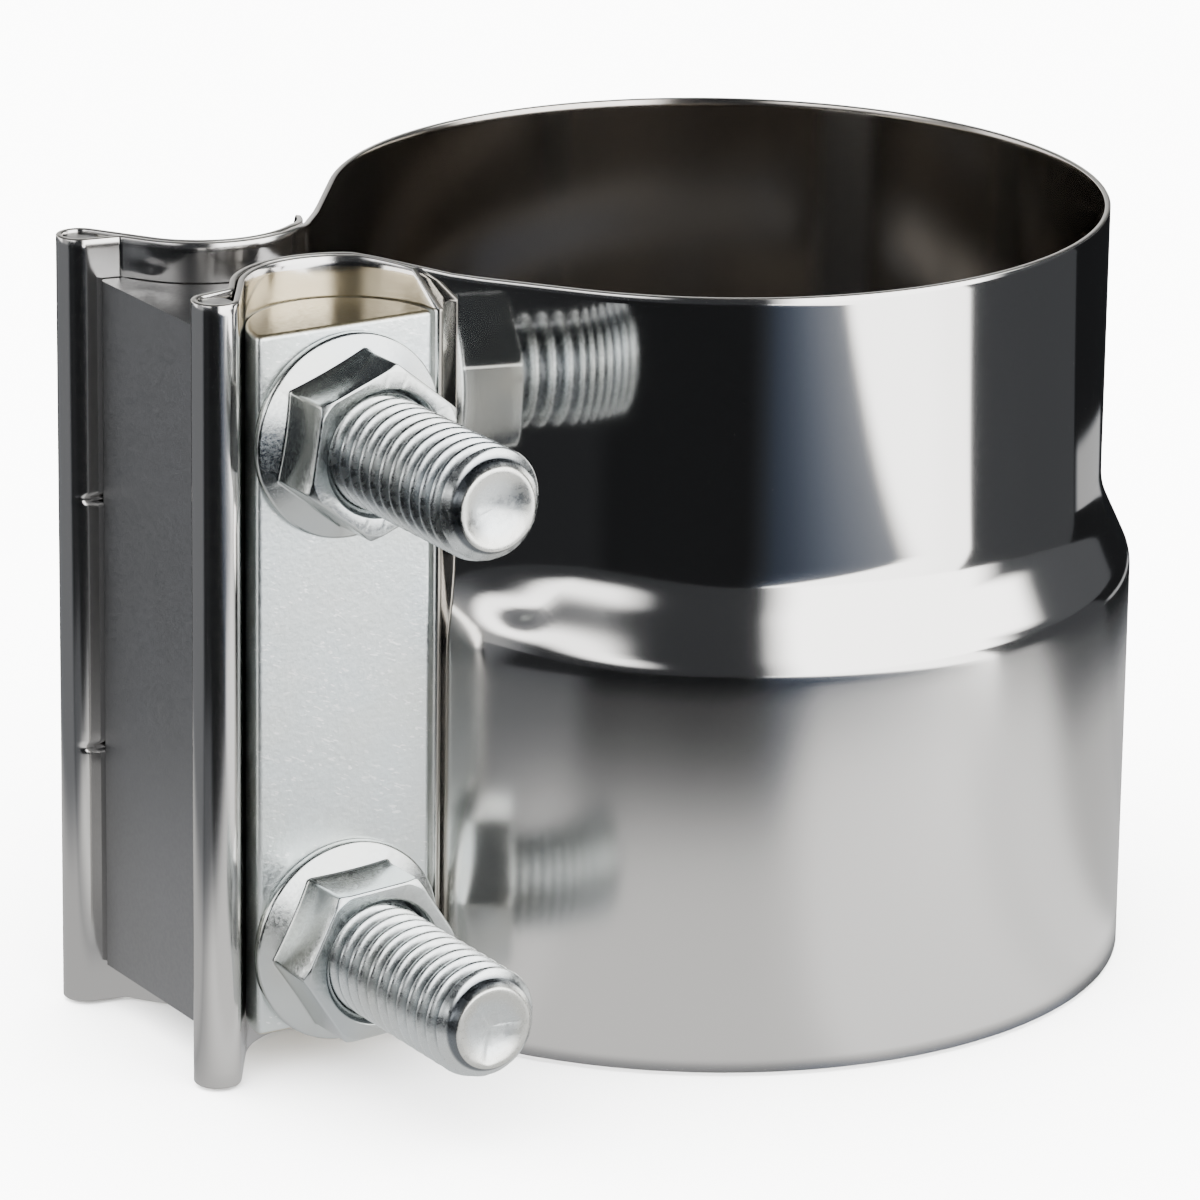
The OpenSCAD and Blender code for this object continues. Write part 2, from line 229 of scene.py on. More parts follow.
def nearChain(z, across, plan, clamp):
    # plan view of one face of the sheet from the front of the ring to the free edge of the
    # near tail, as arcs and the straight lines that touch them; a face lies half a sheet off
    # the middle, and across is 1 on the outer face of the ring and -1 on the inner one
    half = plan["sheet"] / 2
    off = across * half
    outerR = softRadius(z, 0.0, plan)
    innerR = softRadius(z, plan["sheet"], plan)
    radius = (outerR + innerR) / 2 + across * (outerR - innerR) / 2
    bar = np.array([clamp["barX"], -clamp["barY"]])
    rod = np.array([clamp["rodX"], -clamp["rodY"]])
    span = np.hypot(*bar)
    wrapOuter = plan["wrapMid"] - half
    leave = (180 + np.degrees(np.arctan2(clamp["barY"], -clamp["barX"]))
             + np.degrees(np.arccos((outerR + wrapOuter) / span)))
    fold = plan["foldAngle"]
    neck = plan["neckHeading"]
    ones = np.ones_like(z)

    def fractions(count, last=False):
        return np.linspace(0, 1, count, endpoint=last)[:, None]

    def arc(centre, start, stop, reach, count):
        angle = start + fractions(count) * (stop - start)
        return centre + reach[..., None] * heading(angle)

    def line(start, stop, count):
        t = fractions(count)[..., None]
        return start[None] * (1 - t) + stop[None] * t

    def beside(point, normal):
        return point + off[:, None] * heading(normal * ones)

    # the crisp shoulder of the ring runs out over the last part of the way to the flange
    crispOuter = ringRadius(z, 0.0, plan)
    crispInner = ringRadius(z, plan["sheet"], plan)
    crisp = (crispOuter + crispInner) / 2 + across * (crispOuter - crispInner) / 2
    turn = np.clip((fractions(plan["ringSteps"]) - plan["softFrom"]) / (1 - plan["softFrom"]), 0, 1)
    turn = turn ** 2 * (3 - 2 * turn)
    ringReach = crisp * (1 - turn) + radius * turn
    ringEnd = radius[:, None] * heading(leave)
    wrapStart = bar + (plan["wrapMid"] - off)[:, None] * heading(leave - 180)
    foldOut = bar + plan["wrapMid"] * heading(fold)
    creaseIn = foldOut + plan["creaseRun"] * heading(fold + 90)
    creaseCentre = creaseIn + plan["creaseRadius"] * heading(fold)
    creaseOut = creaseCentre + plan["creaseRadius"] * heading(neck + 90)
    loopTop = rod + plan["loopMid"] * heading(neck - 90)
    loopOut = rod + plan["loopMid"] * heading(plan["loopEnd"])
    foldBack = bar + plan["backMid"] * heading(fold)
    tailStart = bar + plan["backMid"] * heading(plan["tailAngle"])
    parts = [
        arc(np.zeros(2), 360.0, leave, ringReach, plan["ringSteps"]),
        line(ringEnd, wrapStart, plan["rootSteps"]),
        arc(bar, leave - 180, fold, plan["wrapMid"] - off, plan["wrapSteps"]),
        line(beside(foldOut, fold + 180), beside(creaseIn, fold + 180), plan["runSteps"]),
        arc(creaseCentre, fold + 180, neck + 90, plan["creaseRadius"] + off,
            plan["creaseSteps"]),
        line(beside(creaseOut, neck + 90), beside(loopTop, neck + 90), plan["neckSteps"]),
        arc(rod, neck - 90, plan["loopEnd"], plan["loopMid"] - off, plan["loopSteps"]),
        line(beside(loopOut, fold), beside(foldBack, fold), plan["backSteps"]),
        arc(bar, fold, plan["tailAngle"], plan["backMid"] + off, plan["wrapSteps"]),
    ]
    # the tail runs to its cut end, nearer at the corners
    fromEnd = np.minimum(z, plan["flangeHeight"] - z)
    cut = plan["cornerWidth"] * np.maximum(1 - fromEnd / plan["cornerHeight"], 0)
    length = plan["tailLength"] - cut
    near = plan["edge"] / length
    nearly, last = plan["tailNarrow"]
    for share, narrow in ((0 * near, 1), (0.4 + 0 * near, 1), (1 - near, 1),
                          (1 - 0.25 * near, nearly), (1 + 0 * near, last)):
        way = (length * share)[:, None] * heading((plan["tailAngle"] - 90) * ones)
        side = (off * narrow)[:, None] * heading(plan["tailAngle"] * ones)
        parts.append((tailStart + way + side)[None])
    return np.concatenate(parts)


def makeBand(plan, clamp, dents, material):
    # both faces of the near half, their mirror image on the far side, joined into one closed
    # grid of height rows and plan columns
    z, edge = sheetRows(plan, dents)
    faces = []
    for side in (1, -1):
        flat = nearChain(z, side * edge, plan, clamp)
        tall = np.broadcast_to(z, flat.shape[:2])
        near = np.dstack([flat, tall])
        far = near * [1, -1, 1]
        faces.append(np.concatenate([far[::-1][:-1], near]))
    count = len(z)
    grid = np.concatenate([faces[0], faces[1][:, ::-1]], axis=1)
    # rim of the ring lower than the flanges: the top rows slope down to it
    climb = np.clip((-grid[..., 0] - plan["riseStart"]) / plan["riseLength"], 0, 1)
    low = (plan["flangeHeight"] - plan["ringHeight"]) * (1 - climb)
    slopeFrom = plan["rimSlopeFrom"]
    grid[..., 2] -= low * np.clip((grid[..., 2] - slopeFrom) / (plan["flangeHeight"] - slopeFrom),
                                  0, 1)
    # dent depth = push x exp(-(distance / spread)^2 / 2)
    for dent in dents:
        away = (grid - np.array(dent["at"])) / np.array(dent["spread"])
        depth = np.exp(-0.5 * (away ** 2).sum(-1))
        grid += depth[..., None] * np.array(dent["push"])
    rows, columns = grid.shape[:2]
    quads = gridQuads(rows, columns, closeColumns=True)
    # both free edges close between the faces
    pair = np.arange(count - 1)
    ends = []
    for row, turn in ((0, 1), (rows - 1, -1)):
        first = row * columns
        cell = np.stack([first + pair, first + columns - 1 - pair,
                         first + columns - 2 - pair, first + pair + 1], -1)
        ends.append(cell[:, ::turn])
    quads = np.concatenate([quads, *ends])
    band = buildMesh("bandSkin", grid.reshape(-1, 3), quads)
    # for the paint: cutEdge is 1 on the sheared edges, insideRing on the inner face
    cut = np.concatenate([edge < 0.99, (edge < 0.99)[::-1]])
    cut = np.broadcast_to(cut, (rows, columns)).copy()
    cut[[0, 1, -2, -1]] = True
    within = np.broadcast_to(np.arange(columns) >= count, (rows, columns))
    within = within & (grid[..., 0] > clamp["barX"] + plan["insideReach"])
    within = within & (np.hypot(grid[..., 0], grid[..., 1]) < plan["insideRadius"])
    for key, mask in (("cutEdge", cut), ("insideRing", within & ~cut)):
        layer = band.data.attributes.new(key, "FLOAT", "POINT")
        layer.data.foreach_set("value", mask.ravel().astype(np.float32))
    drillHoles(band, clamp, plan["holeReach"])
    finishPiece(band, "band", "clamp", material, sharpAngle=60, evenFaces=False)
    return band


# The half-round bars

barPlan = {
    "radius": 9.5, "length": 70.0,
    "edge": 0.55,                               # rounding of the long edges
    "endEdge": 0.5,                             # rounding of the cut ends
    "holeReach": 20.0,                          # how far across Y the bolt holes are cut
    "arcSteps": 49, "flatSteps": 15, "cornerSteps": 7,     # points of the outline
    "endSteps": 6, "middleRows": 5, "endReach": 2.0,       # rows up the bar
}


def barOutline(inset, plan):
    # half circle and flat, both moved inwards, with a curve over each corner
    radius = plan["radius"] - inset
    edge = plan["edge"]
    low = math.degrees(math.asin((edge + inset) / radius))
    arc = radius * heading(np.linspace(low, 180 - low, plan["arcSteps"]))
    flat = np.stack([np.linspace(edge - radius, radius - edge, plan["flatSteps"]),
                     np.full(plan["flatSteps"], inset)], -1)

    def corner(start, tip, stop):
        t = np.linspace(0, 1, plan["cornerSteps"])[1:-1, None]
        return (1 - t) ** 2 * start + 2 * t * (1 - t) * tip + t ** 2 * stop

    left = corner(arc[-1], np.array([-radius, inset]), flat[0])
    right = corner(flat[-1], np.array([radius, inset]), arc[0])
    return np.concatenate([arc, left, flat, right])


def makeBar(name, node, side, plan, clamp, material):
    # rows of the outline climb the bar; the first and last few draw in round the cut ends,
    # by edge x (1 - sin) while they rise by edge x (1 - cos)
    turn = np.radians(np.linspace(0, 90, plan["endSteps"]))
    draw = plan["endEdge"] * (1 - np.sin(turn))
    rise = plan["endEdge"] * (1 - np.cos(turn))
    half = plan["length"] / 2
    middle = np.linspace(plan["endReach"] - half, half - plan["endReach"], plan["middleRows"])
    heights = np.concatenate([rise - half, middle, half - rise[::-1]])
    insets = np.concatenate([draw, 0 * middle, draw[::-1]])
    rows = []
    for height, inset in zip(heights, insets):
        outline = barOutline(inset, plan)
        x = clamp["barX"] + outline[:, 0]
        y = side * (clamp["barY"] - outline[:, 1])
        rows.append(np.stack([x, y, np.full(len(x), clamp["middle"] + height)], -1))
    grid = np.array(rows)
    count, columns = grid.shape[:2]
    quads = gridQuads(count, columns, closeColumns=True)
    caps = [np.arange(columns)[::-1], (count - 1) * columns + np.arange(columns)]
    bar = buildMesh(name, grid.reshape(-1, 3), quads, caps)
    drillHoles(bar, clamp, plan["holeReach"])
    finishPiece(bar, node, "clamp", material)
    return bar


# Nuts and bolts: rings of points round the bolt axis, which runs towards -Y

hexPlan = {
    "flats": 15.0, "cornerRound": 0.45,         # width across flats, rounding of the corners
    "hollow": 0.07,                             # how far the forged flats dip
    "flange": 20.1, "rim": 0.9, "slope": 16.0,  # flange width, rim thickness, slope
    "chamfer": 0.7,                             # ring taken off the corners
    "nutHeight": 7.5, "headHeight": 7.0,
    "bore": 11.2, "mouth": 12.6,                # nut bore and its countersink
    "recess": 11.0, "recessDepth": 0.5,         # shallow recess in the bolt head
    "leastChamfer": 0.12, "leastTop": 0.2,      # what the chamfer leaves at mid flat
    # reach of each rounding: chamfer, foot of the flats, flange, bore, mouth, countersink
    "chamferRound": 0.1, "footRound": 0.25, "flangeRounds": (0.3, 0.2),
    "boreRound": 0.15, "mouthRound": 0.12, "sinkRound": 0.1, "recessRounds": (0.3, 0.2),
    # angles of the grid from a corner to mid flat, close together at the corner
    "sector": [0, 0.6, 1.2, 1.9, 3, 5, 8, 11, 14, 17, 20, 23.3, 26.6, 30],
}

boltPlan = {
    "length": 56.3, "shank": 10.9, "shankLength": 22.0,
    "major": 11.08, "pitch": 1.814, "depth": 1.0,
    "rootTo": 0.2, "crestFrom": 0.92,           # shares of the way from root to crest
    "runIn": 1.5,                               # turns over which the thread deepens
    "endWidth": 7.9, "endLength": 1.6,          # chamfer down to the flat ring
    "endEdge": (0.02, 0.1),                     # how far inside its rim the ring's rows start
    "dish": 7.2, "dishDepth": 0.65, "creaseWidth": 9.0,    # crease width in degrees
    "dishShares": (1, 0.96, 0.88, 0.76, 0.62, 0.48, 0.34, 0.2, 0.08, 0.015),
    "headMiddle": 0.05,                         # radius at which the head's top closes
    "rowsPerPitch": 22,
}


# how each pair stands: height, turned position of nut and head, and the creases in the
# bolt's dish, each with its way in degrees and its depth
fastenerPlan = {
    "upper": {"z": clampPlan["upperZ"], "nutTurn": 21, "headTurn": 10,
              "creases": [(200, 0.05)]},
    "lower": {"z": clampPlan["lowerZ"], "nutTurn": 3, "headTurn": 38,
              "creases": [(118, 0.14), (8, 0.12), (262, 0.14)]},
}


def hexColumns(turn, plan):
    # angles round a hexagon with corners at turn, turn + 60 ...; close together at a corner
    sector = np.array(plan["sector"])
    sector = np.concatenate([sector, 60 - sector[-2:0:-1]])
    return turn + (60 * np.arange(6)[:, None] + sector).ravel()


def hexRadius(angle, turn, plan):
    # flat: apothem / cos(angle from the middle of the flat); corner: a circle of the rounding
    # radius whose centre lies on the corner line
    apothem = plan["flats"] / 2
    fromFlat = np.radians((angle - turn) % 60 - 30)
    fromCorner = np.radians(30) - np.abs(fromFlat)
    rounding = plan["cornerRound"]
    centre = (apothem - rounding) / math.cos(math.radians(30))
    limit = math.atan((apothem - rounding) * math.tan(math.radians(30)) / apothem)
    arc = (centre * np.cos(fromCorner)
           + np.sqrt(np.maximum(rounding ** 2 - (centre * np.sin(fromCorner)) ** 2, 0)))
    return np.where(np.abs(fromFlat) < limit, apothem / np.cos(fromFlat), arc)


def roundedRows(corners, steps=3):
    # corners: (reach, (columns, 2) points); each corner becomes a short curve, the quadratic
    # (1 - t)^2 start + 2 t (1 - t) corner + t^2 stop, that starts and stops a reach from it
    rows = [corners[0][1]]
    for (_, before), (reach, at), (_, after) in zip(corners, corners[1:], corners[2:]):
        if reach == 0:
            rows.append(at)
            continue
        back = before - at
        on = after - at
        backLength = np.linalg.norm(back, axis=1, keepdims=True)
        onLength = np.linalg.norm(on, axis=1, keepdims=True)
        start = at + back / backLength * np.minimum(reach, 0.45 * backLength)
        stop = at + on / onLength * np.minimum(reach, 0.45 * onLength)
        for t in np.linspace(0, 1, steps + 1):
            rows.append((1 - t) ** 2 * start + 2 * t * (1 - t) * at + t ** 2 * stop)
    rows.append(corners[-1][1])
    return rows


def hexCorners(angle, turn, height, plan):
    # outline from the top edge down the hexagon and out over the flange, as (reach, r and h)
    def at(r, h):
        r, h = np.broadcast_arrays(r, h, subok=True)
        return np.stack([r + 0 * angle, h + 0 * angle], -1)

    side = hexRadius(angle, turn, plan)
    corner = plan["flats"] / 2 / math.cos(math.radians(30))
    ringTop = corner - plan["chamfer"]
    drop = np.maximum((side - ringTop) * math.tan(math.radians(30)), plan["leastChamfer"])
    rim = plan["flange"] / 2
    foot = plan["rim"] + (rim - side) * math.tan(math.radians(plan["slope"]))
    shoulder = height - drop
    fromFlat = np.radians((angle - turn) % 60 - 30)
    dip = plan["hollow"] * np.cos(3 * fromFlat) ** 2
    top = np.minimum(ringTop, side - plan["leastTop"])
    rows = [(plan["chamferRound"], at(top, height)), (plan["chamferRound"], at(side, shoulder))]
    for share in (0.2, 0.4, 0.6, 0.8):
        bow = side - dip * math.sin(math.pi * share)
        rows.append((0, at(bow, shoulder + share * (foot - shoulder))))
    upper, lower = plan["flangeRounds"]
    rows += [(plan["footRound"], at(side, foot)), (upper, at(rim, plan["rim"])),
             (lower, at(rim, 0.0))]
    return rows


def turnedPiece(name, angle, rows, axis, caps=False):
    # rows of (r, s) pairs round a bolt axis: x = axis + r cos, z = axis + r sin, y = -s
    rows = np.array(rows)
    x = axis[0] + rows[..., 0] * np.cos(np.radians(angle))
    z = axis[1] + rows[..., 0] * np.sin(np.radians(angle))
    grid = np.stack([x, -rows[..., 1], z], -1)
    count, columns = grid.shape[:2]
    closed = not caps
    quads = gridQuads(count, columns, closeRows=closed, closeColumns=True)
    ends = []
    if not closed:
        ends = [np.arange(columns)[::-1], (count - 1) * columns + np.arange(columns)]
    return buildMesh(name, grid.reshape(-1, 3), quads, ends)


def makeNut(name, node, stand, plan, clamp, material):
    # a ring of rows that runs up the bore, down the hexagon, over the flange and back
    turn = stand["nutTurn"]
    angle = hexColumns(turn, plan)
    bore = plan["bore"] / 2
    mouth = plan["mouth"] / 2
    sink = mouth - bore

    def at(r, h):
        return np.stack([r + 0 * angle, h + 0 * angle], -1)

    height = plan["nutHeight"]
    corners = [(0, at(bore, height / 2)), (plan["boreRound"], at(bore, height - sink)),
               (plan["mouthRound"], at(mouth, height)), *hexCorners(angle, turn, height, plan),
               (plan["sinkRound"], at(mouth, 0.0)), (plan["sinkRound"], at(bore, sink)),
               (0, at(bore, height / 2 - 0.1))]
    rows = [row + [0, clamp["barY"]] for row in roundedRows(corners)]
    nut = turnedPiece(name, angle, rows, (clamp["barX"], stand["z"]))
    finishPiece(nut, node, node, material)
    return nut


def makeBolt(name, node, stand, plan, hexa, clamp, material):
    # rows from the middle of the head's top, over the head and along the bolt to its dish
    turn = stand["headTurn"]
    angle = hexColumns(turn, hexa)
    seat = -clamp["barY"]
    end = plan["length"] + seat

    def at(r, s):
        return np.stack([r + 0 * angle, s + 0 * angle], -1)

    # head, upside down: s = seat - h
    height = hexa["headHeight"]
    recess = hexa["recess"] / 2
    inner, outer = hexa["recessRounds"]
    floor = height - hexa["recessDepth"]
    corners = [(0, at(plan["headMiddle"], floor)), (inner, at(recess - inner, floor)),
               (outer, at(recess, height)), *hexCorners(angle, turn, height, hexa),
               (0, at(plan["shank"] / 2, 0.0))]
    rows = [row * [1, -1] + [0, seat] for row in roundedRows(corners)]
    # thread: radius = major - depth x (1 - smooth step of the way from root to crest), which
    # gives flanks at 60 degrees, a narrow crest and a rounded root
    start = seat + plan["shankLength"]
    step = plan["pitch"] / plan["rowsPerPitch"]
    first, second = plan["endEdge"]
    along = np.arange(start, end - first, step)[:, None]
    phase = along / plan["pitch"] - angle[None, :] / 360
    way = np.abs(2 * (phase % 1) - 1)
    way = np.clip((way - plan["rootTo"]) / (plan["crestFrom"] - plan["rootTo"]), 0, 1)
    crest = way ** 2 * (3 - 2 * way)
    runIn = np.clip((along - start) / (plan["runIn"] * plan["pitch"]), 0, 1)
    radius = plan["major"] / 2 - plan["depth"] * runIn * (1 - crest)
    cone = plan["endWidth"] / 2 + (end - along) / plan["endLength"] * (
        plan["major"] - plan["endWidth"]) / 2
    radius = np.minimum(radius, cone)
    radius[0] = plan["shank"] / 2
    headRows = len(rows)
    rows += [np.stack([r, s + 0 * r], -1) for r, s in zip(radius, along)]
    # end ring and dish: depth x (1 - (r / rim)^2), shallower near the rim, with a few radial
    # creases of depth x exp(-(angle off / width)^2)
    rim = plan["dish"] / 2
    rows.append(at(plan["endWidth"] / 2 - first, end - first))
    rows.append(at(plan["endWidth"] / 2 - second, end))
    for share in plan["dishShares"]:
        depth = plan["dishDepth"] * (1 - share ** 2) * (0.25 + 0.75 * (1 - share ** 6))
        crease = 0 * angle
        for way, deep in stand["creases"]:
            off = (angle - way + 180) % 360 - 180
            bell = np.exp(-(off / plan["creaseWidth"]) ** 2)
            crease += deep * bell * share * (1 - share ** 8)
        rows.append(np.stack([rim * share + 0 * angle, end - depth - crease], -1))
    bolt = turnedPiece(name, angle, rows, (clamp["barX"], stand["z"]), caps=True)
    # for the paint: painted shade, 1 in the roots of the thread, 0 on its crests and elsewhere
    root = np.zeros((len(rows), len(angle)), np.float32)
    root[headRows:headRows + len(along)] = runIn * (1 - crest)
    layer = bolt.data.attributes.new("threadRootShade", "FLOAT", "POINT")
    layer.data.foreach_set("value", root.ravel())
    finishPiece(bolt, node, node, material, sharpAngle=75)
    return bolt


# Paint

def linearColour(hexText):
    # sRGB byte / 255, then the sRGB curve undone
    raw = [int(hexText[i:i + 2], 16) / 255 for i in (1, 3, 5)]
    return [c / 12.92 if c <= 0.04045 else ((c + 0.055) / 1.055) ** 2.4 for c in raw] + [1.0]


def addNode(tree, kind, inputs=None, **settings):
    # one shader node; inputs go to sockets by name or number, as a value or another socket
    made = tree.nodes.new(kind)
    for key, value in settings.items():
        setattr(made, key, value)
    for key, value in (inputs or {}).items():
        if isinstance(value, bpy.types.NodeSocket):
            tree.links.new(value, made.inputs[key])
        else:
            made.inputs[key].default_value = value
    return made


def newMaterial(name):
    material = bpy.data.materials.new(name)
    material.use_nodes = True
    tree = material.node_tree
    tree.nodes.clear()
    return material, tree


def objectPlace(tree):
    # place on the object in metres, split into x, y, z
    place = addNode(tree, "ShaderNodeTexCoord").outputs["Object"]
    return place, addNode(tree, "ShaderNodeSeparateXYZ", {0: place})


def ramp(tree, value, low, high, start=0.0, stop=1.0):
    # smooth step of a value between two marks: start + (stop - start) x (3 t^2 - 2 t^3)
    return addNode(tree, "ShaderNodeMapRange",
                   {"Value": value, "From Min": low, "From Max": high,
                    "To Min": start, "To Max": stop},
                   interpolation_type="SMOOTHSTEP").outputs["Result"]


def product(tree, *factors):
    result = factors[0]
    for factor in factors[1:]:
        result = addNode(tree, "ShaderNodeMath", {0: result, 1: factor},
                         operation="MULTIPLY").outputs[0]
    return result


def total(tree, *parts):
    result = parts[0]
    for part in parts[1:]:
        result = addNode(tree, "ShaderNodeMath", {0: result, 1: part},
                         operation="ADD").outputs[0]
    return result


def windowBetween(tree, value, low, high, soft):
    # 1 between two marks and 0 outside, with soft borders
    up = ramp(tree, value, low - soft, low + soft)
    down = ramp(tree, value, high - soft, high + soft, 1.0, 0.0)
    return product(tree, up, down)


def metalSurface(tree, colour, roughness, height):
    # bare metal with the default IOR, its fine relief given as a height in metres
    bump = addNode(tree, "ShaderNodeBump", {"Strength": 1.0, "Distance": 1.0, "Height": height})
    shader = addNode(tree, "ShaderNodeBsdfPrincipled",
                     {"Base Color": colour, "Roughness": roughness, "Metallic": 1.0,
                      "Normal": bump.outputs["Normal"]})
    addNode(tree, "ShaderNodeOutputMaterial", {"Surface": shader.outputs["BSDF"]})


def patternOf(tree, place, cell, detail=2.0, stretch=(1, 1, 1)):
    # soft noise with cells of a real size in mm, drawn out along an axis whose factor is small
    moved = addNode(tree, "ShaderNodeMapping", {"Vector": place, "Scale": stretch})
    return addNode(tree, "ShaderNodeTexNoise", {"Vector": moved.outputs[0],
                                                "Scale": 1 / (cell * mm),
                                                "Detail": detail}).outputs["Fac"]


bandPaint = {
    "colour": "#DAD8D5", "mirror": 0.07, "satin": 0.19, "flange": 0.13,
    "satinTop": 0.0370, "mirrorFrom": 0.0412,   # heights in metres where the finish changes
    "shoulder": 0.095, "shoulderTop": 0.0490, "shoulderSoft": 0.002,
    "ringFrom": (-0.0445, -0.0405),             # along X, where the flange roots become ring
    "cutEdge": "#A8A49C", "cutRough": 0.32,     # sheared edge of the sheet
    "inside": "#C4BEB6", "insideRough": 0.13,   # inner face of the ring, left as rolled
    "haze": 16.67, "hazeTall": (1, 1, 0.25),    # uneven polish: patches in mm, tall ones
    "hazeRough": (-0.012, 0.02),
    "scratch": 1.111, "scratchTall": (1, 1, 0.03), "scratchDeep": 0.000001,   # drawn coarse
    "wave": 22.22, "waveDeep": 0.000012,        # buckle of the sheet, in mm and metres
}


def brightStainless(paint):
    # polished stainless sheet, nearly a mirror above the shoulder and satin below it, where
    # the sheet was stretched over the larger mandrel; roughness = mirror + what each zone adds
    material, tree = newMaterial("brightStainlessSheet")
    place, split = objectPlace(tree)
    below = ramp(tree, split.outputs["Z"], paint["satinTop"], paint["mirrorFrom"], 1.0, 0.0)
    onRing = ramp(tree, split.outputs["X"], *paint["ringFrom"])
    offRing = ramp(tree, split.outputs["X"], *paint["ringFrom"], 1.0, 0.0)
    onShoulder = windowBetween(tree, split.outputs["Z"],
                               paint["mirrorFrom"] - paint["shoulderSoft"],
                               paint["shoulderTop"], paint["shoulderSoft"])
    haze = patternOf(tree, place, paint["haze"], 3.0, paint["hazeTall"])
    rough = total(tree, paint["mirror"],
                  product(tree, below, onRing, paint["satin"] - paint["mirror"]),
                  product(tree, offRing, paint["flange"] - paint["mirror"]),
                  product(tree, onShoulder, onRing, paint["shoulder"] - paint["mirror"]),
                  ramp(tree, haze, 0.35, 0.75, *paint["hazeRough"]))
    colour = linearColour(paint["colour"])
    # zones marked on the mesh: the sheared edges, then the inner face
    for zone, tone, finish in (("cutEdge", paint["cutEdge"], paint["cutRough"]),
                               ("insideRing", paint["inside"], paint["insideRough"])):
        share = addNode(tree, "ShaderNodeAttribute", attribute_name=zone).outputs["Fac"]
        rough = addNode(tree, "ShaderNodeMix", {"Factor": share, 2: rough, 3: finish},
                        data_type="FLOAT").outputs[0]
        colour = addNode(tree, "ShaderNodeMix", {"Factor": share, 6: colour,
                                                 7: linearColour(tone)},
                         data_type="RGBA").outputs[2]
    scratch = patternOf(tree, place, paint["scratch"], 2.0, paint["scratchTall"])
    wave = patternOf(tree, place, paint["wave"], 1.0)
    height = total(tree, product(tree, scratch, paint["scratchDeep"]),
                   product(tree, wave, paint["waveDeep"]))
    metalSurface(tree, colour, rough, height)
    return material


def nicksOver(tree, place, nicks):
    # share of handling nicks: short lines where a stretched noise is near its top
    slanted = addNode(tree, "ShaderNodeMapping",
                      {"Vector": place, "Rotation": (0.0, nicks["slant"], 0.0),
                       "Scale": (nicks["stretch"], 1.0, 1.0)}, vector_type="TEXTURE")
    lines = patternOf(tree, slanted.outputs[0], nicks["line"], 0.0)
    patches = patternOf(tree, place, nicks["patch"], 1.0)
    return product(tree, ramp(tree, lines, *nicks["top"]),
                   ramp(tree, patches, 0.40, 0.60, *nicks["strength"]))


def zincPlate(name, paint):
    # zinc plate over rolled steel: a satin skin whose tone drifts a little, with fine pits;
    # then each overlay, a share of the surface with a colour of its own; in the thread roots it is
    # painted shade
    material, tree = newMaterial(name)
    place, split = objectPlace(tree)
    speck = patternOf(tree, place, paint["grain"], 4.0)
    rough = ramp(tree, speck, 0.3, 0.7, paint["rough"] - 0.05, paint["rough"] + 0.06)
    overlays = [(patternOf(tree, place, paint["drift"]), paint["tint"])]
    if "nicks" in paint:
        overlays.append((nicksOver(tree, place, paint["nicks"]), paint["nicks"]["colour"]))
    if "ends" in paint:
        # cut ends, past two marks along an axis: rougher and of another colour
        ends = paint["ends"]
        along = split.outputs[ends["axis"]]
        past = total(tree, ramp(tree, along, ends["low"], ends["low"] + ends["soft"], 1.0, 0.0),
                     ramp(tree, along, ends["high"] - ends["soft"], ends["high"]))
        overlays.append((past, ends["colour"]))
        rough = total(tree, rough, product(tree, past, ends["rougher"]))
    if "root" in paint:
        # painted shade darkening the roots of the thread
        deep = addNode(tree, "ShaderNodeAttribute", attribute_name="threadRootShade").outputs["Fac"]
        overlays.append((ramp(tree, deep, 0.45, 1.0, 0.0, 0.85), paint["root"]))
    skin = linearColour(paint["colour"])
    for share, tone in overlays:
        skin = addNode(tree, "ShaderNodeMix", {"Factor": share, 6: skin, 7: linearColour(tone)},
                       data_type="RGBA").outputs[2]
    metalSurface(tree, skin, rough, product(tree, speck, paint["pits"]))
    return material


# rolled bar under zinc: pale, slightly yellow, pitted like fine sand, its sheared ends warm
# and stained; drift, grain, line and patch are cells in mm, pits a depth in metres
barPaint = {
    "colour": "#D4DFE4", "tint": "#D9DBD5", "drift": 8.333,
    "rough": 0.34, "grain": 0.4545, "pits": 0.000026,
    "ends": {"axis": "Z", "low": 0.0040, "high": 0.0740, "soft": 0.0004,
             "colour": "#D0C098", "rougher": 0.06},
    "nicks": {"slant": 0.4, "stretch": 3.2, "line": 0.2083, "top": (0.69, 0.76),
              "patch": 3.846, "strength": (0.2, 0.9), "colour": "#FFFFFF"},
}

# cold-formed nut under bright zinc: bluish, smooth, with a soft sparkle
nutPaint = {
    "colour": "#BFC8CF", "tint": "#CBCAC0", "drift": 8.333,
    "rough": 0.20, "grain": 0.3125, "pits": 0.000005,
}

# rolled bolt thread under bright zinc: like the nut but with painted shade in the roots of the
# thread, and duller on the cold-formed ends
boltPaint = {
    "colour": "#DEE6EC", "tint": "#CCCCC4", "drift": 8.333,
    "rough": 0.26, "grain": 0.6667, "pits": 0.000002,
    "ends": {"axis": "Y", "low": -0.0420, "high": 0.0212, "soft": 0.0004,
             "colour": "#D6D6D0", "rougher": 0.02},
    # painted shade in the roots of the thread
    "root": "#4A5058",
}

# drawn wire, plain and a little darker
rodPaint = {
    "colour": "#A9A8A5", "tint": "#9C9B98", "drift": 8.333,
    "rough": 0.35, "grain": 0.7143, "pits": 0.000005,
}

# extruded spacer: dull grey, even, seen almost matt
blockPaint = {
    "colour": "#99999B", "tint": "#949494", "drift": 8.333,
    "rough": 0.42, "grain": 0.3846, "pits": 0.000008,
}

finishes = {
    "band": brightStainless(bandPaint),
    "bar": zincPlate("zincPlatedBar", barPaint),
    "nut": zincPlate("brightZincNut", nutPaint),
    "bolt": zincPlate("brightZincBolt", boltPaint),
    "rod": zincPlate("drawnSteelWire", rodPaint),
    "block": zincPlate("dullSpacerSteel", blockPaint),
}
print("paint mixed:", sorted(finishes))

